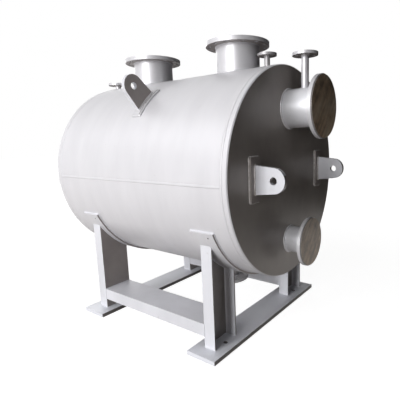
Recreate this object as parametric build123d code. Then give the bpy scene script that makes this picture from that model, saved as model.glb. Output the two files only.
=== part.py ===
from build123d import *
import math
import os

# Plate and shell heat exchanger on its own saddle stand, in millimetres.
# X runs along the vessel towards the front cover, Z is up, and the origin is on the
# floor under the middle of the vessel.

# Vessel
shell_radius = 620.0
shell_wall = 14.0
vessel_length = 1480.0
cover_thickness = 38.0
cover_edge_chamfer = 5.0
axis_height = 980.0
pack_radius = 500.0

# Nozzle pipes, and how far a pipe ends behind the face of its flange
pipe_250 = dict(radius=136.5, wall=8.0)
pipe_200 = dict(radius=109.5, wall=8.0)
pipe_150 = dict(radius=79.5, wall=8.0)
pipe_32 = dict(radius=21.2, wall=3.5)
pipe_25 = dict(radius=16.85, wall=3.5)
pipe_setback = 5.0

# Flanges: how far in from the rim the bolt circle lies, and from there the raised face
flange_250 = dict(radius=197.5, thick=26.0, bolts_in=22.5, face_in=15.0, holes=12, hole=11.0)
flange_200 = dict(radius=175.0, thick=24.0, bolts_in=27.5, face_in=13.5, holes=8, hole=11.0)
flange_150 = dict(radius=146.0, thick=22.0, bolts_in=26.0, face_in=14.0, holes=8, hole=11.0)
flange_32 = dict(radius=72.0, thick=18.0, bolts_in=22.0, face_in=11.0, holes=4, hole=9.0)
flange_25 = dict(radius=57.5, thick=16.0, bolts_in=15.0, face_in=8.5, holes=4, hole=7.0)
raised_face_height = 2.0

# Places of the nozzles along the vessel, and how far their faces stand off the shell
front_top_nozzle_x = 376.0
rear_top_nozzle_x = -400.0
top_nozzle_standoff = 175.0
bottom_nozzle_x = 240.0
bottom_nozzle_standoff = 137.0
top_vent_x = 590.0
top_vent_standoff = 85.0

# Heights of the end nozzles from the axis, how far they reach off the cover, and the
# vent on the upper one, by how far its face stands off that nozzle
upper_nozzle_rise = 375.0
upper_nozzle_reach = 213.0
lower_nozzle_drop = 405.0
lower_nozzle_reach = 140.0
nozzle_vent_reach = 97.0
nozzle_vent_standoff = 190.5

# Transit covers over the flanges of the end nozzles
transit_cover_thickness = 4.0
transit_cover_inset = 4.0

# Lifting lugs and their pads
lug_thickness = 25.0
lug_eye_reach = 121.0
lug_tip_radius = 65.0
lug_eye_radius = 20.0
lug_root_width = 155.0
pad_thickness = 12.0
cover_pad_width = 90.0
cover_pad_height = 235.0
cover_lug_side = 390.0
shell_pad_width = 60.0
shell_pad_length = 215.0
shell_lug_angle = 45.0
pad_corner_round = 8.0

# Saddle stand
saddle_spacing = 996.0
saddle_shift = 11.0
channel_height = 200.0
channel_flange = 75.0
channel_web = 9.0
channel_toe = 11.0
channel_root_round = 10.0
channel_toe_round = 5.0
post_outer_side = 525.0
rail_top = 164.0
base_plate_thickness = 25.0
base_plate_width = 200.0
base_plate_length = 1216.0
anchor_hole_radius = 13.0
anchor_hole_shift = 33.0
wear_plate_thickness = 14.0
wear_plate_width = 160.0
wear_plate_shift = 11.0
wear_plate_half_angle = 64.8
weep_hole_radius = 6.0
weep_hole_shift = 40.0
weep_hole_below_edge = 2.7

# Worked out from the above
cover_face = vessel_length / 2
shell_end = cover_face - cover_thickness
shell_bore_radius = shell_radius - shell_wall
pad_radius = shell_radius + pad_thickness
wear_radius = shell_radius + wear_plate_thickness
front_saddle_x = saddle_shift + saddle_spacing / 2
rear_saddle_x = saddle_shift - saddle_spacing / 2
post_centre_side = post_outer_side - channel_height / 2
top_nozzle_face = shell_radius + top_nozzle_standoff
bottom_nozzle_face = shell_radius + bottom_nozzle_standoff
top_vent_face = shell_radius + top_vent_standoff
nozzle_vent_face = upper_nozzle_rise + pipe_200["radius"] + nozzle_vent_standoff

to_vessel_axis = Pos(0, 0, axis_height)
along_x = Rot(0, 90, 0)
full_turn = 360.0


def rod_along_x(radius, length):
    """A round bar on the vessel's axis, centred on the middle of the vessel."""
    return to_vessel_axis * along_x * Cylinder(radius, length)


def bore_radius(pipe):
    return pipe["radius"] - pipe["wall"]


def upright_bar(radius, x, low, high):
    """A round bar up the Z axis at x, between two heights over the vessel's axis."""
    middle = axis_height + (low + high) / 2
    return Pos(x, 0, middle) * Cylinder(radius, high - low)


def level_bar(radius, height, start, end):
    """A round bar along X at a height over the vessel's axis, between two stations."""
    return Pos((start + end) / 2, 0, axis_height + height) * along_x * Cylinder(radius, end - start)


def facing(end):
    """Turns what is built on the front cover to the front (+1) or the rear (-1)."""
    return Rot(0, 0, 0) if end > 0 else Rot(0, 0, full_turn / 2)


def shell():
    """The rolled shell, with a hole for each nozzle pipe that is set into it."""
    body = rod_along_x(shell_radius, 2 * shell_end) - rod_along_x(shell_bore_radius, 2 * shell_end)
    for name, size, pipe, x, face, side in nozzles_on_shell():
        body -= upright_bar(pipe["radius"], x, *sorted([0, side * face]))
    return body


def end_cover(end):
    """A flat cover of the shell's own diameter, with the two plate side ports through it."""
    disc = level_bar(shell_radius, 0, shell_end, cover_face)
    rim = disc.edges().sort_by(Axis.X)[-1]
    disc = chamfer(rim, cover_edge_chamfer)
    for pipe, height in end_ports():
        disc -= level_bar(bore_radius(pipe), height, shell_end, cover_face)
    return facing(end) * disc


def end_ports():
    """Pipe and height over the axis of the two plate side nozzles on a cover."""
    return [
        (pipe_200, upper_nozzle_rise),
        (pipe_150, -lower_nozzle_drop),
    ]


def plate_pack():
    """The round pack of plates held between the covers, with its two port channels."""
    pack = rod_along_x(pack_radius, 2 * shell_end)
    for pipe, height in end_ports():
        pack -= level_bar(bore_radius(pipe), height, -shell_end, shell_end)
    return pack


def flange_at_origin(size, pipe):
    """A slip-on plate flange round its pipe, with its sealing face on Z = 0, facing up."""
    bolt_circle = size["radius"] - size["bolts_in"]
    face_radius = bolt_circle - size["face_in"]
    raised = Pos(0, 0, -raised_face_height / 2) * Cylinder(face_radius, raised_face_height)
    plate_depth = size["thick"] - raised_face_height
    plate = Pos(0, 0, -raised_face_height - plate_depth / 2) * Cylinder(size["radius"], plate_depth)
    ring = plate + raised
    ring -= Pos(0, 0, -size["thick"] / 2) * Cylinder(pipe["radius"], size["thick"])
    bolt_hole = Pos(0, 0, -size["thick"] / 2) * Cylinder(size["hole"], size["thick"])
    half_step = full_turn / size["holes"] / 2
    for place in PolarLocations(bolt_circle, size["holes"], start_angle=half_step):
        ring -= place * bolt_hole
    return ring


def neck_on_shell(pipe, x, face, side):
    """A nozzle pipe set into the shell, up (side +1) or down (side -1), trimmed flush inside."""
    ends = sorted([0, side * (face - pipe_setback)])
    tube = upright_bar(pipe["radius"], x, *ends) - upright_bar(bore_radius(pipe), x, *ends)
    return tube - rod_along_x(shell_bore_radius, vessel_length)


def flange_on_shell(size, pipe, x, face, side):
    turn = Rot(0, 0, 0) if side > 0 else Rot(full_turn / 2, 0, 0)
    return Pos(x, 0, axis_height + side * face) * turn * flange_at_origin(size, pipe)


def neck_on_cover(pipe, height, reach, end):
    """A nozzle pipe that stands on a cover."""
    start = cover_face
    stop = cover_face + reach - pipe_setback
    tube = level_bar(pipe["radius"], height, start, stop)
    tube -= level_bar(bore_radius(pipe), height, start, stop)
    return facing(end) * tube


def upper_neck_on_cover(reach, end):
    """The upper end nozzle's pipe, with the hole that its vent pipe is set into."""
    tube = neck_on_cover(pipe_200, upper_nozzle_rise, reach, end)
    hole = upright_bar(pipe_32["radius"], cover_face + nozzle_vent_reach, upper_nozzle_rise, nozzle_vent_face)
    return tube - facing(end) * hole


def flange_on_cover(size, pipe, height, reach, end):
    ring = Pos(cover_face + reach, 0, axis_height + height) * along_x * flange_at_origin(size, pipe)
    return facing(end) * ring


def transit_cover(size, height, reach, end):
    """The thin disc that closes a flange until the pipework is joined to it."""
    start = cover_face + reach
    disc = level_bar(size["radius"] - transit_cover_inset, height, start, start + transit_cover_thickness)
    return facing(end) * disc


def vent_pipe_on_nozzle(end):
    """The small vent pipe set into the upper end nozzle, trimmed flush inside."""
    x = cover_face + nozzle_vent_reach
    top = nozzle_vent_face - pipe_setback
    tube = upright_bar(pipe_32["radius"], x, upper_nozzle_rise, top)
    tube -= upright_bar(bore_radius(pipe_32), x, upper_nozzle_rise, top)
    tube -= level_bar(bore_radius(pipe_200), upper_nozzle_rise, cover_face, cover_face + upper_nozzle_reach)
    return facing(end) * tube


def vent_flange_on_nozzle(end):
    x = cover_face + nozzle_vent_reach
    ring = Pos(x, 0, axis_height + nozzle_vent_face) * flange_at_origin(flange_32, pipe_32)
    return facing(end) * ring


def lug_at_origin():
    """A lug plate in the XZ plane that reaches along X, its eye lug_eye_reach from X = 0.

    Its edges run from X = 0, where they are lug_root_width apart, tangent to the round tip.
    Below X = 0 it runs on by the thickness of a pad, to be trimmed to what it stands on.
    """
    half_root = lug_root_width / 2
    to_corner = math.hypot(lug_eye_reach, half_root)
    corner_angle = math.atan2(half_root, -lug_eye_reach)
    touch_angle = corner_angle - math.acos(lug_tip_radius / to_corner)
    touch = (
        lug_eye_reach + lug_tip_radius * math.cos(touch_angle),
        lug_tip_radius * math.sin(touch_angle),
    )
    tip = (lug_eye_reach + lug_tip_radius, 0)
    mirrored_touch = (touch[0], -touch[1])
    sides = [
        Polyline((touch[0], touch[1]), (0, half_root), (-pad_thickness, half_root)),
        Line((-pad_thickness, half_root), (-pad_thickness, -half_root)),
        Polyline((-pad_thickness, -half_root), (0, -half_root), mirrored_touch),
        ThreePointArc(mirrored_touch, tip, touch),
    ]
    outline = make_face(Wire(Curve() + sides))
    outline -= Pos(lug_eye_reach, 0) * Circle(lug_eye_radius)
    plate = extrude(outline, amount=lug_thickness / 2, both=True)
    return Rot(90, 0, 0) * plate


def cover_lugs(end):
    """The two upright lugs on a cover, one on each side of the vessel's axis."""
    behind_pad = level_bar(2 * shell_radius, 0, 0, cover_face + pad_thickness)
    pair = []
    for side in (-1, 1):
        lug = Pos(cover_face, side * cover_lug_side, axis_height) * lug_at_origin()
        pair.append(facing(end) * (lug - behind_pad))
    return Compound(pair)


def cover_lug_pads(end):
    pair = []
    for side in (-1, 1):
        pad = Box(pad_thickness, cover_pad_width, cover_pad_height)
        pad = fillet(pad.edges().filter_by(Axis.X), pad_corner_round)
        pad = Pos(cover_face + pad_thickness / 2, side * cover_lug_side, axis_height) * pad
        pair.append(facing(end) * pad)
    return Compound(pair)


def shell_lugs():
    """The two lugs across the middle of the shell, square to it on each shoulder."""
    pair = []
    for angle in (shell_lug_angle, full_turn / 2 - shell_lug_angle):
        lug = Rot(0, 0, 90) * Rot(0, -90, 0) * lug_at_origin()
        lug = radial(lug, angle)
        pair.append(lug - rod_along_x(pad_radius, vessel_length))
    return Compound(pair)


def radial(piece, angle):
    """Stands a piece built up the Z axis on the shell, at an angle over the horizontal."""
    return to_vessel_axis * Rot(angle - full_turn / 4, 0, 0) * Pos(0, 0, shell_radius) * piece


def shell_lug_pads():
    """Curved pads under the shell lugs, part of a ring round the shell."""
    half_angle = math.degrees(shell_pad_length / 2 / shell_radius)
    pair = []
    for angle in (shell_lug_angle, full_turn / 2 - shell_lug_angle):
        pair.append(ring_part(shell_radius, pad_radius, shell_pad_width, 0, angle, half_angle))
    return Compound(pair)


def ring_part(inner, outer, width, x, middle_angle, half_angle):
    """Part of a ring round the vessel's axis, by the angle over the +Y horizontal."""
    ring = Pos(x, 0, 0) * (rod_along_x(outer, width) - rod_along_x(inner, width))
    reach = 2 * outer
    left = (reach * math.cos(math.radians(half_angle)), reach * math.sin(math.radians(half_angle)))
    wedge = make_face(Polyline((0, 0), left, (reach, 0), (left[0], -left[1]), close=True))
    wedge = extrude(Plane.YZ * wedge, amount=width, both=True)
    wedge = Pos(x, 0, axis_height) * Rot(middle_angle, 0, 0) * wedge
    return ring & wedge


def channel_section():
    """A rolled channel: web along Y at X = 0, flanges reaching along X."""
    half = channel_height / 2
    inner = half - channel_toe
    outline = Polyline(
        (0, -half),
        (channel_flange, -half),
        (channel_flange, -inner),
        (channel_web, -inner),
        (channel_web, inner),
        (channel_flange, inner),
        (channel_flange, half),
        (0, half),
        close=True,
    )
    section = make_face(outline)
    roots = [v for v in section.vertices() if abs(v.X - channel_web) < channel_web / 2]
    section = fillet(roots, channel_root_round)
    tips = [v for v in section.vertices() if v.X > channel_flange - channel_web / 2]
    toes = [v for v in tips if abs(v.Y) < half - channel_toe / 2]
    return fillet(toes, channel_toe_round)


def saddle_posts(x, forward):
    """The two channel posts of a saddle, coped to the wear plate, flanges facing forward or back."""
    web_x = x - forward * channel_flange / 2
    turn = Rot(0, 0, 0) if forward > 0 else Rot(0, 0, full_turn / 2)
    pair = []
    for side in (-1, 1):
        post = extrude(turn * channel_section(), amount=axis_height - base_plate_thickness)
        post = Pos(web_x, side * post_centre_side, base_plate_thickness) * post
        pair.append(post - rod_along_x(wear_radius, vessel_length))
    return Compound(pair)


def side_rail(side):
    """The channel laid flat between the posts of one side, web up."""
    start = rear_saddle_x + channel_flange / 2
    end = front_saddle_x - channel_flange / 2
    rail = extrude(channel_section(), amount=end - start)
    rail = along_x * rail
    return Pos(start, side * post_centre_side, rail_top) * rail


def wear_plate(x):
    """The curved plate between a saddle and the shell, with a weep hole on each side."""
    middle = x + wear_plate_shift
    plate = ring_part(shell_radius, wear_radius, wear_plate_width, middle, -full_turn / 4, wear_plate_half_angle)
    hole = Cylinder(weep_hole_radius, 4 * wear_plate_thickness)
    angle = full_turn / 4 - wear_plate_half_angle + weep_hole_below_edge
    for side_angle in (-angle, angle - full_turn / 2):
        plate -= Pos(middle + weep_hole_shift, 0, 0) * radial(hole, side_angle)
    return plate


def base_plate(x, forward):
    plate = Box(base_plate_width, base_plate_length, base_plate_thickness)
    hole = Cylinder(anchor_hole_radius, base_plate_thickness)
    for side in (-1, 1):
        plate -= Pos(forward * anchor_hole_shift, side * post_centre_side, 0) * hole
    return Pos(x, 0, base_plate_thickness / 2) * plate


def nozzles_on_shell():
    """Name, flange, pipe, place, face and side of each nozzle that stands on the shell."""
    return [
        ("front_top_nozzle", flange_250, pipe_250, front_top_nozzle_x, top_nozzle_face, 1),
        ("rear_top_nozzle", flange_250, pipe_250, rear_top_nozzle_x, top_nozzle_face, 1),
        ("bottom_nozzle", flange_150, pipe_150, bottom_nozzle_x, bottom_nozzle_face, -1),
        ("top_vent", flange_25, pipe_25, top_vent_x, top_vent_face, 1),
    ]


def build():
    """Every sub-part by name."""
    pieces = {"shell": shell(), "plate_pack": plate_pack()}
    for name, size, pipe, x, face, side in nozzles_on_shell():
        pieces[name + "_neck"] = neck_on_shell(pipe, x, face, side)
        pieces[name + "_flange"] = flange_on_shell(size, pipe, x, face, side)
    for place, end in (("front", 1), ("rear", -1)):
        upper = (upper_nozzle_rise, upper_nozzle_reach, end)
        lower = (-lower_nozzle_drop, lower_nozzle_reach, end)
        pieces[place + "_cover"] = end_cover(end)
        pieces[place + "_upper_nozzle_neck"] = upper_neck_on_cover(upper_nozzle_reach, end)
        pieces[place + "_upper_nozzle_flange"] = flange_on_cover(flange_200, pipe_200, *upper)
        pieces[place + "_upper_transit_cover"] = transit_cover(flange_200, *upper)
        pieces[place + "_lower_nozzle_neck"] = neck_on_cover(pipe_150, *lower)
        pieces[place + "_lower_nozzle_flange"] = flange_on_cover(flange_150, pipe_150, *lower)
        pieces[place + "_lower_transit_cover"] = transit_cover(flange_150, *lower)
        pieces[place + "_vent_neck"] = vent_pipe_on_nozzle(end)
        pieces[place + "_vent_flange"] = vent_flange_on_nozzle(end)
        pieces[place + "_cover_lugs"] = cover_lugs(end)
        pieces[place + "_cover_lug_pads"] = cover_lug_pads(end)
    pieces["shell_lugs"] = shell_lugs()
    pieces["shell_lug_pads"] = shell_lug_pads()
    for place, x, forward in (("front", front_saddle_x, 1), ("rear", rear_saddle_x, -1)):
        pieces[place + "_wear_plate"] = wear_plate(x)
        pieces[place + "_saddle_posts"] = saddle_posts(x, forward)
        pieces[place + "_base_plate"] = base_plate(x, forward)
    pieces["left_side_rail"] = side_rail(-1)
    pieces["right_side_rail"] = side_rail(1)
    return pieces


os.makedirs("parts", exist_ok=True)
for node, piece in build().items():
    export_step(piece, os.path.join("parts", node + ".step"))
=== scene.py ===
"""Looks of the plate and shell heat exchanger: its paints, its welds and the studio round it."""

import math

import bmesh
import bpy
from mathutils import Matrix, Vector, noise


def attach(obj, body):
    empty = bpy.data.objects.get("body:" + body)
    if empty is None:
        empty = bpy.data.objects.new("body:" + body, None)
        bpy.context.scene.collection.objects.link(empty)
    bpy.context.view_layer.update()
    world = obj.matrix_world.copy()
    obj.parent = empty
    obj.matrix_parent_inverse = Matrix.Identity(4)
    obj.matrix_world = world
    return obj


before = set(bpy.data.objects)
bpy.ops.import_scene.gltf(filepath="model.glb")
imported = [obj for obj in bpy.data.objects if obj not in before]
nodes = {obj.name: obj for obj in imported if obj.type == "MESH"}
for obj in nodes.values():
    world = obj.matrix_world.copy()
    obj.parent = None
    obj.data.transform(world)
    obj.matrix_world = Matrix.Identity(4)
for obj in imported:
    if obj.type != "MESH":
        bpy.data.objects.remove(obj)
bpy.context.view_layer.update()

# Sizes of the frame, in metres
axis_height = 0.980
shell_radius = 0.620
shell_end = 0.702
cover_face = 0.740
pad_thickness = 0.012
wear_plate_thickness = 0.014
wear_plate_width = 0.160
wear_plate_half_angle = math.radians(64.8)
lug_thickness = 0.025
lug_root_width = 0.155
lug_eye_reach = 0.121
lug_tip_radius = 0.065
cover_pad_width = 0.090
cover_pad_height = 0.235
cover_lug_side = 0.390
shell_pad_width = 0.060
shell_pad_length = 0.215
shell_lug_angle = math.radians(45)
channel_height = 0.200
channel_flange = 0.075
channel_web = 0.009
channel_toe = 0.011
post_centre_side = 0.425
post_stations = {"front": 0.509, "rear": -0.487}
wear_plate_shift = 0.011
base_plate_thickness = 0.025
anchor_hole_radius = 0.013
rail_top = 0.164

# Nozzles of the shell: pipe radius, flange thickness, place along the vessel, face from the axis
shell_nozzles = {
    "front_top_nozzle": (0.1365, 0.026, 0.376, 0.795),
    "rear_top_nozzle": (0.1365, 0.026, -0.400, 0.795),
    "bottom_nozzle": (0.0795, 0.022, 0.240, -0.757),
    "top_vent": (0.01685, 0.016, 0.590, 0.705),
}
# Nozzles of each cover: pipe radius, flange thickness, height from the axis, reach off the cover
cover_nozzles = {
    "upper_nozzle": (0.1095, 0.024, 0.375, 0.213),
    "lower_nozzle": (0.0795, 0.022, -0.405, 0.140),
}
vent_pipe_radius = 0.0212
vent_flange_thickness = 0.018
vent_reach = 0.097
vent_face = 0.675

# Softened plate edges: how wide they are, and how sharp an edge has to be
edge_width = 0.0015
sharp_angle = math.radians(40)

# A face looks straight along an axis when its normal has more than this along it
square_on = 0.9

# Wipe marks on the transit covers: how far they slant, and how they are squeezed along X, Y and Z
wipe_slant = math.radians(-50.0)
wipe_squeeze = (1.0, 3.0, 30.0)

# Weld beads
bead_step = 0.005
fine_step = bead_step / 2
bead_sides = 8
root_bead = 0.0060
plate_bead = 0.0050
small_bead = 0.0035
cover_root_bead = root_bead * 1.3
pad_bead = plate_bead * 1.2
lug_bead = plate_bead * 1.3
shell_pad_bead = pad_thickness * 0.9
seam_half_width = 0.0075
seam_crown = 0.0012

# A thinner pipe than this has the small bead, and the bead behind a flange is a share of the root's
thin_pipe = 0.05
back_share = 0.8

# The lengthwise seam lies this far under the axis
seam_drop = 0.015

# Ripples of a bead: their length, and their depth as a share of its size
ripple_length = 0.012
ripple_depth = 0.07

# Unevenness of a bead as a share of its size, and the scale of the noise that gives it
unevenness = 0.22
uneven_scale = 38.0

# Added to the seed of a nozzle's or a post's second bead, so that it is uneven in other spots
second_nozzle_seed = 5
second_post_seed = 4

# Numbers of points that the lines of the welds are drawn through
shell_points = 96
pipe_points = 64
vent_points = 32
pad_points = 24

# Welds round an outline keep this far off its corners, and run through these shares of a side
corner_inset = 0.006
channel_shares = (0.04, 0.25, 0.5, 0.75, 0.96)

# A Mix node's sockets for two colours and for what they give
mix_first = 6
mix_second = 7
mix_result = 2

white = (1.0, 1.0, 1.0)


# Shader nodes


def node(tree, kind, **values):
    """Adds a shader node and sets its sockets or properties by name."""
    made = tree.nodes.new(kind)
    for name, value in values.items():
        if hasattr(made, name):
            setattr(made, name, value)
        else:
            made.inputs[name.replace("_", " ")].default_value = value
    return made


def link(tree, source, output, target, socket):
    tree.links.new(source.outputs[output], target.inputs[socket])


def empty_material(name):
    material = bpy.data.materials.new(name)
    material.use_nodes = True
    material.node_tree.nodes.clear()
    return material


def surface(tree, **values):
    shader = node(tree, "ShaderNodeBsdfPrincipled", **values)
    out = node(tree, "ShaderNodeOutputMaterial")
    link(tree, shader, "BSDF", out, "Surface")
    return shader


def pattern(tree, scale, squeeze=(1.0, 1.0, 1.0), detail=4.0, roughness=0.55):
    """Noise in the object's own metres, the finer the larger scale is, squeezed along X, Y and Z."""
    place = node(tree, "ShaderNodeTexCoord")
    squeezed = node(tree, "ShaderNodeMapping", Scale=squeeze)
    link(tree, place, "Object", squeezed, "Vector")
    cloud = node(tree, "ShaderNodeTexNoise", Scale=scale, Detail=detail, Roughness=roughness)
    link(tree, squeezed, "Vector", cloud, "Vector")
    return cloud


def ramp(tree, source, stops, output="Fac"):
    """A colour ramp over a pattern: stops of (place, colour)."""
    made = node(tree, "ShaderNodeValToRGB")
    middle = 0.5
    while len(made.color_ramp.elements) < len(stops):
        made.color_ramp.elements.new(middle)
    for element, (place, colour) in zip(made.color_ramp.elements, stops):
        element.position = place
        element.color = (*colour, 1.0)
    link(tree, source, output, made, "Fac")
    return made.outputs["Color"]


def multiplied(tree, first, second):
    """The product of two colours."""
    made = node(tree, "ShaderNodeMix", data_type="RGBA", blend_type="MULTIPLY", Factor=1.0)
    tree.links.new(first, made.inputs[mix_first])
    tree.links.new(second, made.inputs[mix_second])
    return made.outputs[mix_result]


def colour_from(tree, shader, colour):
    tree.links.new(colour, shader.inputs["Base Color"])


def roughness_from(tree, shader, source, low, high):
    spread = node(tree, "ShaderNodeMapRange", To_Min=low, To_Max=high)
    link(tree, source, "Fac", spread, "Value")
    link(tree, spread, "Result", shader, "Roughness")


def relief(tree, shader, sources):
    """Bump from several patterns, one over the other: (pattern, strength, height)."""
    last = None
    for source, strength, height in sources:
        bump = node(tree, "ShaderNodeBump", Strength=strength, Distance=height)
        link(tree, source, "Fac", bump, "Height")
        if last:
            link(tree, last, "Normal", bump, "Normal")
        last = bump
    link(tree, last, "Normal", shader, "Normal")


# Materials


def silver_paint(name, light, dark, passes=(3.0, 3.0, 3.0), metal=0.10):
    """Aluminium paint, sprayed: cloudy bands squeezed by the gun's passes, a fine grain and dust."""
    material = empty_material(name)
    tree = material.node_tree
    shader = surface(tree, Metallic=metal, Specular_IOR_Level=0.4)
    clouds = pattern(tree, 1.6, passes, detail=3.0)
    dust = pattern(tree, 26.0, detail=8.0, roughness=0.7)
    grain = pattern(tree, 900.0, detail=2.0)
    sag = pattern(tree, 9.0, detail=2.0)
    body = ramp(tree, clouds, [(0.30, dark), (0.70, light)])
    specks = ramp(tree, dust, [(0.24, (0.84, 0.82, 0.80)), (0.36, white)])
    colour_from(tree, shader, multiplied(tree, body, specks))
    roughness_from(tree, shader, clouds, low=0.33, high=0.41)
    relief(tree, shader, [(sag, 0.15, 0.0010), (grain, 0.12, 0.0002)])
    return material


def weld_paint(name):
    """Painted weld: the same silver, browner and rougher where dirt holds on the ripples."""
    material = empty_material(name)
    tree = material.node_tree
    shader = surface(tree, Metallic=0.40)
    dirt = pattern(tree, 60.0, detail=6.0, roughness=0.65)
    pits = pattern(tree, 420.0)
    colour_from(tree, shader, ramp(tree, dirt, [(0.30, (0.30, 0.27, 0.25)), (0.62, (0.58, 0.56, 0.56))]))
    roughness_from(tree, shader, dirt, low=0.38, high=0.60)
    relief(tree, shader, [(pits, 0.5, 0.0006)])
    return material


def slanted_wipes(tree, place):
    """Long narrow noise that slants over a round face. It is turned first and squeezed after."""
    turned = node(tree, "ShaderNodeMapping", Rotation=(wipe_slant, 0.0, 0.0))
    link(tree, place, "Object", turned, "Vector")
    squeezed = node(tree, "ShaderNodeMapping", Scale=wipe_squeeze)
    link(tree, turned, "Vector", squeezed, "Vector")
    wipes = node(tree, "ShaderNodeTexNoise", Scale=1.4, Detail=4.0, Roughness=0.5)
    link(tree, squeezed, "Vector", wipes, "Vector")
    return wipes


def brown_cover(name):
    """Thin transit cover: brown, oily and mottled, with slanting wipe marks, and painted shade that
    darkens its head.
    """
    material = empty_material(name)
    tree = material.node_tree
    shader = surface(tree, Metallic=0.0, Specular_IOR_Level=0.35)
    place = node(tree, "ShaderNodeTexCoord")
    blotches = pattern(tree, 9.0, detail=6.0, roughness=0.6)
    wipes = slanted_wipes(tree, place)
    height = node(tree, "ShaderNodeSeparateXYZ")
    link(tree, place, "Generated", height, "Vector")
    browns = [
        (0.34, (0.44, 0.33, 0.23)),
        (0.50, (0.84, 0.65, 0.47)),
        (0.66, (1.0, 0.84, 0.65)),
    ]
    body = ramp(tree, blotches, browns)
    marks = ramp(tree, wipes, [(0.36, (0.68, 0.66, 0.63)), (0.62, white)])
    # Painted shade: darker towards the head of the cover, lighter towards its foot
    painted_head_shade = ramp(tree, height, [(0.0, white), (1.0, (0.66, 0.66, 0.68))], output="Z")
    wiped = multiplied(tree, body, marks)
    colour_from(tree, shader, multiplied(tree, wiped, painted_head_shade))
    roughness_from(tree, shader, wipes, low=0.22, high=0.42)
    relief(tree, shader, [(wipes, 0.25, 0.0008), (blotches, 0.2, 0.0010)])
    return material


def stainless_pack(name):
    """The edges of the stacked plates: brushed steel with fine rings along the vessel."""
    material = empty_material(name)
    tree = material.node_tree
    shader = surface(tree, Metallic=1.0)
    place = node(tree, "ShaderNodeTexCoord")
    edges = node(tree, "ShaderNodeTexWave", Scale=60.0, Distortion=0.4, Detail=2.0)
    link(tree, place, "Object", edges, "Vector")
    tint = pattern(tree, 12.0)
    colour_from(tree, shader, ramp(tree, tint, [(0.3, (0.42, 0.41, 0.40)), (0.7, (0.60, 0.59, 0.57))]))
    roughness_from(tree, shader, tint, low=0.30, high=0.45)
    relief(tree, shader, [(edges, 0.9, 0.003)])
    return material


shell_paint = silver_paint(
    "shell_paint",
    light=(0.70, 0.695, 0.725),
    dark=(0.655, 0.65, 0.68),
    passes=(6.0, 1.4, 1.4),
)
fitting_paint = silver_paint(
    "fitting_paint",
    light=(0.65, 0.645, 0.67),
    dark=(0.59, 0.585, 0.61),
    metal=0.26,
)
# Painted shade: a darker copy of the fitting paint, for the top vent and the bottom nozzle, which lie in
# the shade of the vessel and the big nozzle
shaded_fitting_paint = silver_paint(
    "shaded_fitting_paint",
    light=(0.42, 0.41, 0.42),
    dark=(0.36, 0.35, 0.36),
    metal=0.26,
)
# Painted light: a lighter copy of the fitting paint, standing in for the highlight on the end nozzles'
# necks
lit_end_pipe_paint = silver_paint(
    "lit_end_pipe_paint",
    light=(0.83, 0.835, 0.87),
    dark=(0.76, 0.765, 0.80),
    metal=0.24,
)
stand_paint = silver_paint(
    "stand_paint",
    light=(0.75, 0.755, 0.80),
    dark=(0.67, 0.675, 0.715),
    passes=(4.0, 4.0, 1.0),
    metal=0.0,
)
# Painted light: a lighter copy of the stand paint that brightens the base plates' tops
lit_base_paint = silver_paint(
    "lit_base_paint",
    light=(0.84, 0.855, 0.91),
    dark=(0.76, 0.775, 0.83),
    passes=(1.0, 2.0, 4.0),
    metal=0.0,
)
# Painted shade: a darker, browner copy of the silver paint, for faces that look along the vessel or down
# and lie in shade
half_shade_paint = silver_paint(
    "half_shade_paint",
    light=(0.39, 0.355, 0.345),
    dark=(0.30, 0.275, 0.265),
)
shade_paint = silver_paint(
    "shade_paint",
    light=(0.26, 0.245, 0.24),
    dark=(0.20, 0.185, 0.18),
)
# Painted shade: a dark brownish copy of the silver paint, for the covers' ends and their lug pads, which
# face away from the lamps
shaded_cover_paint = silver_paint(
    "shaded_cover_paint",
    light=(0.41, 0.38, 0.36),
    dark=(0.31, 0.285, 0.27),
    passes=(1.0, 2.2, 1.6),
)
welded = weld_paint("weld_paint")
transit = brown_cover("transit_cover")
pack_steel = stainless_pack("plate_edges")


# Paints and softened edges on the pieces of the frame


def has_word(name, words):
    return any(word in name for word in words)


def material_of(name):
    if name == "plate_pack":
        return pack_steel
    if "transit_cover" in name:
        return transit
    if name in ("shell", "front_wear_plate", "rear_wear_plate"):
        return shell_paint
    # Painted shade on the covers and their lug pads
    if name in ("front_cover", "rear_cover", "front_cover_lug_pads", "rear_cover_lug_pads"):
        return shaded_cover_paint
    # Painted shade on the top vent and the bottom nozzle
    if has_word(name, ("top_vent", "bottom_nozzle")):
        return shaded_fitting_paint
    # Painted light on the base plates
    if "base_plate" in name:
        return lit_base_paint
    if has_word(name, ("post", "rail", "lugs")):
        return stand_paint
    # Painted light on the end nozzles' necks
    if has_word(name, ("upper_nozzle_neck", "lower_nozzle_neck")):
        return lit_end_pipe_paint
    return fitting_paint


def dress(name, material):
    target = nodes[name]
    target.data.materials.clear()
    target.data.materials.append(material)
    for face in target.data.polygons:
        face.material_index = 0


def repaint(name, material, chosen):
    """Gives another paint to the chosen faces of a piece."""
    target = nodes[name]
    target.data.materials.append(material)
    second = len(target.data.materials) - 1
    for face in target.data.polygons:
        if chosen(face):
            face.material_index = second


def looks_along(face):
    return abs(face.normal.x) > square_on


def looks_ahead(face):
    return face.normal.x > square_on


def looks_behind(face):
    return face.normal.x < -square_on


def looks_aside(face):
    return abs(face.normal.x) < square_on


def looks_down(face):
    return face.normal.z < -square_on


def in_anchor_hole(face):
    """The wall of a base plate's hole, which lies beside the middle of a post, where painted shade goes.
    """
    beside_post = abs(abs(face.center.y) - post_centre_side) < anchor_hole_radius
    return beside_post and abs(face.normal.z) < 1 - square_on


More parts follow.
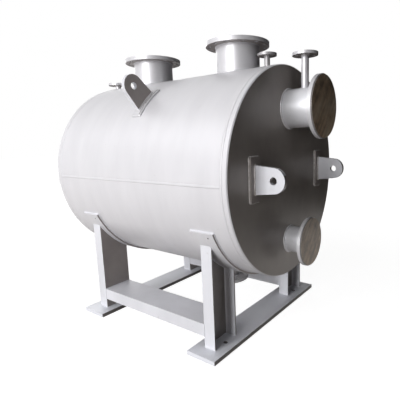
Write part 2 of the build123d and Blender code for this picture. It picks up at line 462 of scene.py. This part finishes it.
def repaint_faces():
    """Painted shade: darker paints on faces that lie in shade or where the vessel mirrors dark
    surroundings, and silver on the covers' rims.
    """
    for name in nodes:
        # The covers' ends keep the painted shade of their paint; their rims get the shell's silver
        if name in ("front_cover", "rear_cover"):
            repaint(name, shell_paint, looks_aside)
        # Painted shade on the ends of lugs, pads, posts and wear plates
        if has_word(name, ("lugs", "pads", "posts", "wear_plate")):
            repaint(name, half_shade_paint, looks_along)
        # Painted shade under the flanges of the top nozzles, the vents and the bottom nozzle
        if "flange" in name and has_word(name, ("top", "vent", "bottom")):
            repaint(name, half_shade_paint, looks_down)
        # Painted shade on the base plates' ends and on the walls of their anchor holes
        if "base_plate" in name:
            repaint(name, shade_paint, looks_along)
            repaint(name, shade_paint, in_anchor_hole)
        # Painted shade: a dark line round the transit covers' rims
        if "transit_cover" in name:
            repaint(name, shade_paint, looks_aside)
    # Painted shade on the posts' faces that look out past the vessel's ends, the insides of the channels
    # among them
    repaint("front_saddle_posts", shade_paint, looks_ahead)
    repaint("rear_saddle_posts", shade_paint, looks_behind)


def soften(name):
    """Breaks the sharp edges of a plate so that they catch the light."""
    edge = nodes[name].modifiers.new("edge", "BEVEL")
    edge.width = edge_width
    edge.segments = 2
    edge.limit_method = "ANGLE"
    edge.angle_limit = sharp_angle
    edge.harden_normals = False
    edge.use_clamp_overlap = True


# Beads and the lines that they follow


def resampled(points, ups, step):
    """Stations of (point, outward) about one step apart along a line."""
    stations = []
    for (a, up_a), (b, up_b) in zip(zip(points, ups), zip(points[1:], ups[1:])):
        count = max(1, round((b - a).length / step))
        for i in range(count):
            share = i / count
            stations.append((a.lerp(b, share), up_a.lerp(up_b, share).normalized()))
    stations.append((points[-1], ups[-1].normalized()))
    return stations


def closed_line(points, ups, step=bead_step):
    return resampled(points + points[:1], ups + ups[:1], step)[:-1]


def neighbours(stations, i, closed):
    """The points before and after a station. At an open end, its own stands in for the missing one."""
    total = len(stations)
    if closed:
        return stations[i - 1][0], stations[(i + 1) % total][0]
    return stations[max(i - 1, 0)][0], stations[min(i + 1, total - 1)][0]


def oval(mesh, point, across, out):
    """One ring of a bead: its vertices, with across and out as its half axes."""
    ring = []
    for k in range(bead_sides):
        turn = 2 * math.pi * (k + 0.5) / bead_sides
        ring.append(mesh.verts.new(point + across * math.cos(turn) + out * math.sin(turn)))
    return ring


def join_rings(mesh, rings, closed):
    pairs = list(zip(rings, rings[1:]))
    if closed:
        pairs.append((rings[-1], rings[0]))
    for first, second in pairs:
        for k in range(bead_sides):
            n = (k + 1) % bead_sides
            mesh.faces.new((first[k], first[n], second[n], second[k]))
    if not closed:
        mesh.faces.new(rings[0][::-1])
        mesh.faces.new(rings[-1])


def bead(mesh, stations, half_width, height, seed, closed=True):
    """One weld bead: an oval tube along the stations, rippled, half sunk in what it joins."""
    rings = []
    travelled = 0.0
    for i, (point, up) in enumerate(stations):
        before, after = neighbours(stations, i, closed)
        along = (after - before).normalized()
        across = along.cross(up).normalized()
        out = across.cross(along)
        travelled += (after - before).length / 2
        swell = 1.0 + ripple_depth * math.sin(2 * math.pi * travelled / ripple_length)
        swell += unevenness * noise.noise(point * uneven_scale + Vector((seed, 0.0, 0.0)))
        rings.append(oval(mesh, point, across * half_width * swell, out * height * swell))
    join_rings(mesh, rings, closed)


def round_bead(mesh, stations, size, seed):
    """A closed weld bead as high as it is wide to each side."""
    bead(mesh, stations, size, size, seed)


def finished(name, mesh, material):
    """Turns a bmesh into a piece of the object."""
    bmesh.ops.recalc_face_normals(mesh, faces=mesh.faces)
    data = bpy.data.meshes.new(name)
    mesh.to_mesh(data)
    mesh.free()
    data.materials.append(material)
    for face in data.polygons:
        face.use_smooth = True
    piece = bpy.data.objects.new(name, data)
    bpy.context.scene.collection.objects.link(piece)
    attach(piece, "root")


def around(count):
    """Angles spread evenly round a circle."""
    return [2 * math.pi * i / count for i in range(count)]


def on_shell(x, angle, radius=shell_radius):
    """A point on the shell, by the angle over the +Y horizontal, and the way out from it."""
    out = Vector((0.0, math.cos(angle), math.sin(angle)))
    return Vector((x, 0.0, axis_height)) + out * radius, out


def hoop(x):
    """A line round the shell."""
    found = [on_shell(x, angle) for angle in around(shell_points)]
    return closed_line([point for point, out in found], [out for point, out in found])


def level_line(angle, start, end):
    """A line along the shell, at an angle over the +Y horizontal."""
    first, out = on_shell(start, angle)
    last, out = on_shell(end, angle)
    return resampled([first, last], [out, out], bead_step)


def upright_root(x, pipe_radius, carrier_radius, carrier_height, side, count=pipe_points, step=bead_step):
    """The line where an upright pipe goes into a level cylinder, on its top or, with side -1, below."""
    points, ups = [], []
    for angle in around(count):
        pipe_out = Vector((math.cos(angle), math.sin(angle), 0.0))
        y = pipe_radius * math.sin(angle)
        z = side * math.sqrt(carrier_radius**2 - y**2)
        carrier_out = Vector((0.0, y, z)) / carrier_radius
        points.append(Vector((x, 0.0, carrier_height + z)) + pipe_out * pipe_radius)
        ups.append((pipe_out + carrier_out).normalized())
    return closed_line(points, ups, step)


def pipe_ring(centre, axis, pipe_radius, step=bead_step):
    """A line round a pipe where it meets a flat face that looks along axis."""
    axis = axis.normalized()
    first = axis.orthogonal().normalized()
    second = axis.cross(first)
    points, ups = [], []
    for angle in around(pipe_points):
        out = first * math.cos(angle) + second * math.sin(angle)
        points.append(centre + out * pipe_radius)
        ups.append((out + axis).normalized())
    return closed_line(points, ups, step)


def outline_on_face(corners, axis):
    """A line round a flat outline, its corners in order, where it stands on a face along axis."""
    centre = sum(corners, Vector()) / len(corners)
    points, ups = [], []
    for corner, after in zip(corners, corners[1:] + corners[:1]):
        along = (after - corner).normalized()
        out = along.cross(axis).normalized()
        if out.dot((corner + after) / 2 - centre) < 0:
            out = -out
        up = (out + axis).normalized()
        inset = along * min(corner_inset, (after - corner).length / 4)
        points += [corner + inset, after - inset]
        ups += [up, up]
    return closed_line(points, ups)


def curved_outline(x, half_width, middle, half_angle, radius, count=pad_points):
    """A line round a patch on the shell, between two angles, its welds leaning outward."""
    points, ups = [], []
    spread = [middle - half_angle + 2 * half_angle * i / count for i in range(count + 1)]
    for side, angles in ((1, spread), (-1, spread[::-1])):
        for angle in angles:
            point, out = on_shell(x + side * half_width, angle, radius)
            lean = Vector((side, 0.0, 0.0))
            points.append(point)
            ups.append((out + lean).normalized())
    return closed_line(points, ups)


def channel_outline():
    """Corners of a channel, anticlockwise: web on X = 0, flanges along X, height along Y."""
    half = channel_height / 2
    inner = half - channel_toe
    return [
        (0.0, -half),
        (channel_flange, -half),
        (channel_flange, -inner),
        (channel_web, -inner),
        (channel_web, inner),
        (channel_flange, inner),
        (channel_flange, half),
        (0.0, half),
    ]


def channel_line(place_spot, up_of):
    """A line round a channel's outline, put in place spot by spot and kept off its corners."""
    corners = channel_outline()
    points, ups = [], []
    for a, b in zip(corners, corners[1:] + corners[:1]):
        length = math.hypot(b[0] - a[0], b[1] - a[1])
        normal = ((b[1] - a[1]) / length, -(b[0] - a[0]) / length)
        for share in channel_shares:
            spot = (a[0] + (b[0] - a[0]) * share, a[1] + (b[1] - a[1]) * share)
            points.append(place_spot(spot))
            ups.append(up_of(spot, normal))
    return closed_line(points, ups)


# Welds


def shell_seams():
    """The welds of the rolled shell: one round each cover and one along the near side."""
    mesh = bmesh.new()
    for seed, x in enumerate((-shell_end, shell_end)):
        bead(mesh, hoop(x), seam_half_width, seam_crown, seed)
    seam_angle = math.pi + math.asin(seam_drop / shell_radius)
    reach = shell_end - seam_half_width
    seam = level_line(seam_angle, -reach, reach)
    bead(mesh, seam, seam_half_width, seam_crown, seed=3, closed=False)
    finished("shell_seam_welds", mesh, shell_paint)


def shell_nozzle_welds():
    """Welds of the shell's nozzles, at their roots and behind their flanges."""
    mesh = bmesh.new()
    for seed, (radius, thickness, x, face) in enumerate(shell_nozzles.values()):
        side = 1 if face > 0 else -1
        size = root_bead if radius > thin_pipe else small_bead
        round_bead(mesh, upright_root(x, radius, shell_radius, axis_height, side), size, seed)
        back = Vector((x, 0.0, axis_height + face - side * thickness))
        away = Vector((0.0, 0.0, -side))
        round_bead(mesh, pipe_ring(back, away, radius), size * back_share, seed + second_nozzle_seed)
    finished("shell_nozzle_welds", mesh, fitting_paint)


def vent_welds(mesh, x):
    """Welds of a small vent, on the upper nozzle's neck and under the vent's flange."""
    carrier_radius, _, height, _ = cover_nozzles["upper_nozzle"]
    carrier_height = axis_height + height
    root = upright_root(x, vent_pipe_radius, carrier_radius, carrier_height, 1, vent_points, fine_step)
    round_bead(mesh, root, small_bead, seed=9)
    back = Vector((x, 0.0, axis_height + vent_face - vent_flange_thickness))
    ring = pipe_ring(back, Vector((0.0, 0.0, -1.0)), vent_pipe_radius, fine_step)
    round_bead(mesh, ring, small_bead, seed=11)


def cover_nozzle_welds(place, way):
    """Welds of a cover's two nozzles, at their roots and behind their flanges, and of the vent."""
    mesh = bmesh.new()
    off = Vector((way, 0.0, 0.0))
    for seed, (radius, thickness, height, reach) in enumerate(cover_nozzles.values()):
        root = Vector((way * cover_face, 0.0, axis_height + height))
        round_bead(mesh, pipe_ring(root, off, radius), cover_root_bead, seed)
        back = root + off * (reach - thickness)
        round_bead(mesh, pipe_ring(back, -off, radius), plate_bead, seed + second_nozzle_seed)
    vent_welds(mesh, way * (cover_face + vent_reach))
    finished(place + "_nozzle_welds", mesh, fitting_paint)


def lug_half_width(height):
    """Half the width of a lug at a height over its root, on its straight tapered sides."""
    half_root = lug_root_width / 2
    to_corner = math.hypot(lug_eye_reach, half_root)
    corner = math.atan2(half_root, -lug_eye_reach)
    touch = corner - math.acos(lug_tip_radius / to_corner)
    touch_height = lug_eye_reach + lug_tip_radius * math.cos(touch)
    touch_width = lug_tip_radius * math.sin(touch)
    return half_root + (touch_width - half_root) * height / touch_height


def cover_lug_welds(place, way):
    """Fillet welds round the cover's lug pads and round the lugs on them."""
    mesh = bmesh.new()
    off = Vector((way, 0.0, 0.0))
    outlines = [
        (cover_face, cover_pad_width / 2, cover_pad_height / 2, pad_bead),
        (cover_face + pad_thickness, lug_thickness / 2, lug_half_width(pad_thickness), lug_bead),
    ]
    for side in (-1, 1):
        for x, half_y, half_z, size in outlines:
            centre = Vector((way * x, side * cover_lug_side, axis_height))
            corners = [
                centre + Vector((0.0, y * half_y, z * half_z))
                for y, z in ((-1, -1), (1, -1), (1, 1), (-1, 1))
            ]
            round_bead(mesh, outline_on_face(corners, off), size, seed=side)
    finished(place + "_lug_welds", mesh, welded)


def shell_lug_welds():
    """Welds round the curved pads of the shell lugs and round the lugs."""
    mesh = bmesh.new()
    pad_radius = shell_radius + pad_thickness
    half_pad_angle = shell_pad_length / 2 / shell_radius
    half_lug_angle = lug_half_width(pad_thickness) / pad_radius
    for angle in (shell_lug_angle, math.pi - shell_lug_angle):
        patch = curved_outline(0.0, shell_pad_width / 2, angle, half_pad_angle, shell_radius)
        round_bead(mesh, patch, shell_pad_bead, seed=1)
        patch = curved_outline(0.0, lug_thickness / 2, angle, half_lug_angle, pad_radius)
        round_bead(mesh, patch, lug_bead, seed=2)
    finished("shell_lug_welds", mesh, fitting_paint)


def wear_plate_weld(mesh, place):
    """The weld round a wear plate, on the shell."""
    x = post_stations[place] + wear_plate_shift
    half_width = wear_plate_width / 2
    patch = curved_outline(x, half_width, -math.pi / 2, wear_plate_half_angle, shell_radius, shell_points)
    round_bead(mesh, patch, plate_bead, seed=1)


def post_welds(mesh, place, way, side):
    """Welds of one post, under the wear plate and on the base plate."""
    wear_radius = shell_radius + wear_plate_thickness
    web_x = post_stations[place] - way * channel_flange / 2

    def under_wear_plate(spot):
        y = side * post_centre_side + spot[1]
        z = axis_height - math.sqrt(wear_radius**2 - y**2)
        return Vector((web_x + way * spot[0], y, z))

    def lean_down(spot, normal):
        point = under_wear_plate(spot)
        out = Vector((0.0, point.y, point.z - axis_height)).normalized()
        return (Vector((way * normal[0], normal[1], 0.0)) + out).normalized()

    def on_base(spot):
        y = side * post_centre_side + spot[1]
        return Vector((web_x + way * spot[0], y, base_plate_thickness))

    def lean_up(spot, normal):
        return Vector((way * normal[0], normal[1], 1.0)).normalized()

    round_bead(mesh, channel_line(under_wear_plate, lean_down), small_bead, seed=side)
    round_bead(mesh, channel_line(on_base, lean_up), small_bead, seed=side + second_post_seed)


def saddle_welds(place, way):
    """Welds of one saddle: wear plate on the shell, posts under it, posts on the base plate."""
    mesh = bmesh.new()
    wear_plate_weld(mesh, place)
    for side in (-1, 1):
        post_welds(mesh, place, way, side)
    finished(place + "_saddle_welds", mesh, stand_paint)


def rail_end_weld(mesh, x, inward, side):
    """The weld where one end of a rail butts on a post."""

    def on_post(spot):
        return Vector((x, side * post_centre_side + spot[1], rail_top - spot[0]))

    def lean_in(spot, normal):
        return Vector((inward, normal[1], -normal[0])).normalized()

    round_bead(mesh, channel_line(on_post, lean_in), small_bead, seed=side + inward)


def rail_welds():
    mesh = bmesh.new()
    start = post_stations["rear"] + channel_flange / 2
    end = post_stations["front"] - channel_flange / 2
    for side in (-1, 1):
        rail_end_weld(mesh, start, 1, side)
        rail_end_weld(mesh, end, -1, side)
    finished("rail_welds", mesh, stand_paint)


# Camera, lamps and surroundings


def camera():
    """The camera as it stood for the photo."""
    azimuth = math.radians(35.006)
    elevation = math.radians(9.655)
    roll = math.radians(-1.3535)
    stand = Vector((1.7651, -1.9272, 1.1928))
    back = Vector((
        math.sin(azimuth) * math.cos(elevation),
        -math.cos(azimuth) * math.cos(elevation),
        math.sin(elevation),
    ))
    level_right = Vector((0.0, 0.0, 1.0)).cross(back).normalized()
    level_up = back.cross(level_right)
    right = math.cos(roll) * level_right + math.sin(roll) * level_up
    up = math.cos(roll) * level_up - math.sin(roll) * level_right
    data = bpy.data.cameras.new("camera")
    data.sensor_width = 36.0
    data.lens = 32.496
    data.shift_x = -0.1159
    data.shift_y = -0.001
    data.clip_end = 200.0
    made = bpy.data.objects.new("camera", data)
    turned = Matrix((right, up, back)).transposed().to_4x4()
    turned.translation = stand
    made.matrix_world = turned
    bpy.context.scene.collection.objects.link(made)
    bpy.context.scene.camera = made


def soft_light(name, place, size, power):
    """A large lamp far off, turned to the middle of the vessel."""
    data = bpy.data.lights.new(name, "AREA")
    data.shape = "RECTANGLE"
    data.size, data.size_y = size
    data.energy = power
    made = bpy.data.objects.new(name, data)
    aim = (Vector(place) - Vector((0.0, 0.0, axis_height))).to_track_quat("Z", "Y")
    made.matrix_world = Matrix.Translation(place) @ aim.to_matrix().to_4x4()
    bpy.context.scene.collection.objects.link(made)


def seen_by_eye(tree):
    """1 for rays from the camera and for those that show in metal and glass, else 0."""
    path = node(tree, "ShaderNodeLightPath")
    first = node(tree, "ShaderNodeMath", operation="MAXIMUM")
    link(tree, path, "Is Camera Ray", first, 0)
    link(tree, path, "Is Glossy Ray", first, 1)
    second = node(tree, "ShaderNodeMath", operation="MAXIMUM")
    link(tree, first, "Value", second, 0)
    link(tree, path, "Is Transmission Ray", second, 1)
    return second


def white_world():
    """White to the eye and in metal, and a dim warm light for everything else."""
    world = bpy.data.worlds.new("white_world")
    world.use_nodes = True
    tree = world.node_tree
    tree.nodes.clear()
    seen = node(tree, "ShaderNodeBackground", Color=(*white, 1.0), Strength=1.0)
    dim = node(tree, "ShaderNodeBackground", Color=(1.0, 0.93, 0.88, 1.0), Strength=0.07)
    blend = node(tree, "ShaderNodeMixShader")
    out = node(tree, "ShaderNodeOutputWorld")
    link(tree, seen_by_eye(tree), "Value", blend, 0)
    link(tree, dim, "Background", blend, 1)
    link(tree, seen, "Background", blend, 2)
    link(tree, blend, "Shader", out, "Surface")
    bpy.context.scene.world = world


def flat_sheet(name, corners, material):
    mesh = bmesh.new()
    mesh.faces.new([mesh.verts.new(corner) for corner in corners])
    data = bpy.data.meshes.new(name)
    mesh.to_mesh(data)
    mesh.free()
    data.materials.append(material)
    sheet = bpy.data.objects.new(name, data)
    bpy.context.scene.collection.objects.link(sheet)
    return sheet


def floor_to_the_eye(tree):
    """White that keeps the shadow and runs out into the backdrop."""
    place = node(tree, "ShaderNodeTexCoord")
    away = node(tree, "ShaderNodeVectorMath", operation="LENGTH")
    link(tree, place, "Object", away, 0)
    limits = {"From_Min": 1.0, "From_Max": 5.0, "To_Min": 0.93, "To_Max": 1.0}
    spread = node(tree, "ShaderNodeMapRange", interpolation_type="SMOOTHSTEP", **limits)
    link(tree, away, "Value", spread, "Value")
    glow = node(tree, "ShaderNodeEmission", Color=(*white, 1.0))
    link(tree, spread, "Result", glow, "Strength")
    shaded = node(tree, "ShaderNodeBsdfDiffuse", Color=(0.25, 0.25, 0.25, 1.0))
    seen = node(tree, "ShaderNodeAddShader")
    link(tree, glow, "Emission", seen, 0)
    link(tree, shaded, "BSDF", seen, 1)
    return seen


def floor_to_the_vessel(tree, path):
    """A grey that throws some light back, and in metal a white with a painted shadow that goes dark under
    the vessel.
    """
    # Painted shadow: occlusion darkens the white that metal mirrors, under and near the vessel
    painted_floor_shadow = node(tree, "ShaderNodeAmbientOcclusion", Distance=1.5, samples=4)
    mirrored = node(tree, "ShaderNodeEmission", Color=(1.0, 0.97, 0.94, 1.0))
    link(tree, painted_floor_shadow, "AO", mirrored, "Strength")
    bounce = node(tree, "ShaderNodeBsdfDiffuse", Color=(0.38, 0.35, 0.33, 1.0))
    in_metal = node(tree, "ShaderNodeMath", operation="MAXIMUM")
    link(tree, path, "Is Glossy Ray", in_metal, 0)
    link(tree, path, "Is Transmission Ray", in_metal, 1)
    unseen = node(tree, "ShaderNodeMixShader")
    link(tree, in_metal, "Value", unseen, 0)
    link(tree, bounce, "BSDF", unseen, 1)
    link(tree, mirrored, "Emission", unseen, 2)
    return unseen


def pale_floor():
    """A white floor that keeps the shadow, runs out into the backdrop and throws some light back."""
    material = empty_material("floor")
    tree = material.node_tree
    path = node(tree, "ShaderNodeLightPath")
    blend = node(tree, "ShaderNodeMixShader")
    link(tree, path, "Is Camera Ray", blend, 0)
    link(tree, floor_to_the_vessel(tree, path), "Shader", blend, 1)
    link(tree, floor_to_the_eye(tree), "Shader", blend, 2)
    out = node(tree, "ShaderNodeOutputMaterial")
    link(tree, blend, "Shader", out, "Surface")
    reach = 30.0
    corners = [(-reach, -reach, 0), (reach, -reach, 0), (reach, reach, 0), (-reach, reach, 0)]
    flat_sheet("floor", corners, material)


def dark_card(name, start, end, low, high):
    """An upright black card that the paint mirrors. It casts no shadow, and the camera doesn't see it."""
    material = empty_material(name)
    tree = material.node_tree
    black = node(tree, "ShaderNodeBsdfDiffuse", Color=(0.02, 0.018, 0.016, 1.0))
    out = node(tree, "ShaderNodeOutputMaterial")
    link(tree, black, "BSDF", out, "Surface")
    card = flat_sheet(name, [(*start, low), (*end, low), (*end, high), (*start, high)], material)
    card.visible_camera = False
    card.visible_shadow = False


# The whole scene

for part in nodes:
    dress(part, material_of(part))
repaint_faces()
for part in nodes:
    if has_word(part, ("pads", "lugs", "base_plate", "wear_plate", "posts", "rail")):
        soften(part)

shell_seams()
shell_nozzle_welds()
for place, way in (("front", 1), ("rear", -1)):
    cover_nozzle_welds(place, way)
    cover_lug_welds(place, way)
    saddle_welds(place, way)
shell_lug_welds()
rail_welds()

camera()
white_world()
pale_floor()
dark_card("front_card", start=(2.2, -2.5), end=(2.2, 6.0), low=0.0, high=4.5)
dark_card("far_card", start=(2.2, 2.0), end=(-2.0, 2.3), low=0.3, high=3.2)
dark_card("far_low_card", start=(-2.0, 2.3), end=(-5.0, 2.6), low=0.3, high=1.4)
soft_light("window", place=(-1.3, -8.6, 3.3), size=(2.6, 3.0), power=310.0)
soft_light("window_low", place=(-1.7, -8.9, 0.9), size=(2.4, 1.4), power=105.0)
soft_light("window_edge", place=(1.4, -8.8, 2.8), size=(1.2, 3.0), power=230.0)
soft_light("sky", place=(-1.8, -7.5, 5.8), size=(4.0, 4.0), power=90.0)
soft_light("side_key", place=(-5.1, -5.4, 6.0), size=(4.0, 4.0), power=100.0)
soft_light("low_back", place=(-7.6, 4.5, 2.4), size=(4.0, 4.0), power=150.0)
soft_light("front_fill", place=(8.0, -3.0, 2.5), size=(4.0, 4.0), power=20.0)
soft_light("back_fill", place=(-3.0, 8.3, 4.5), size=(4.0, 4.0), power=50.0)

bpy.context.scene.view_settings.view_transform = "Standard"
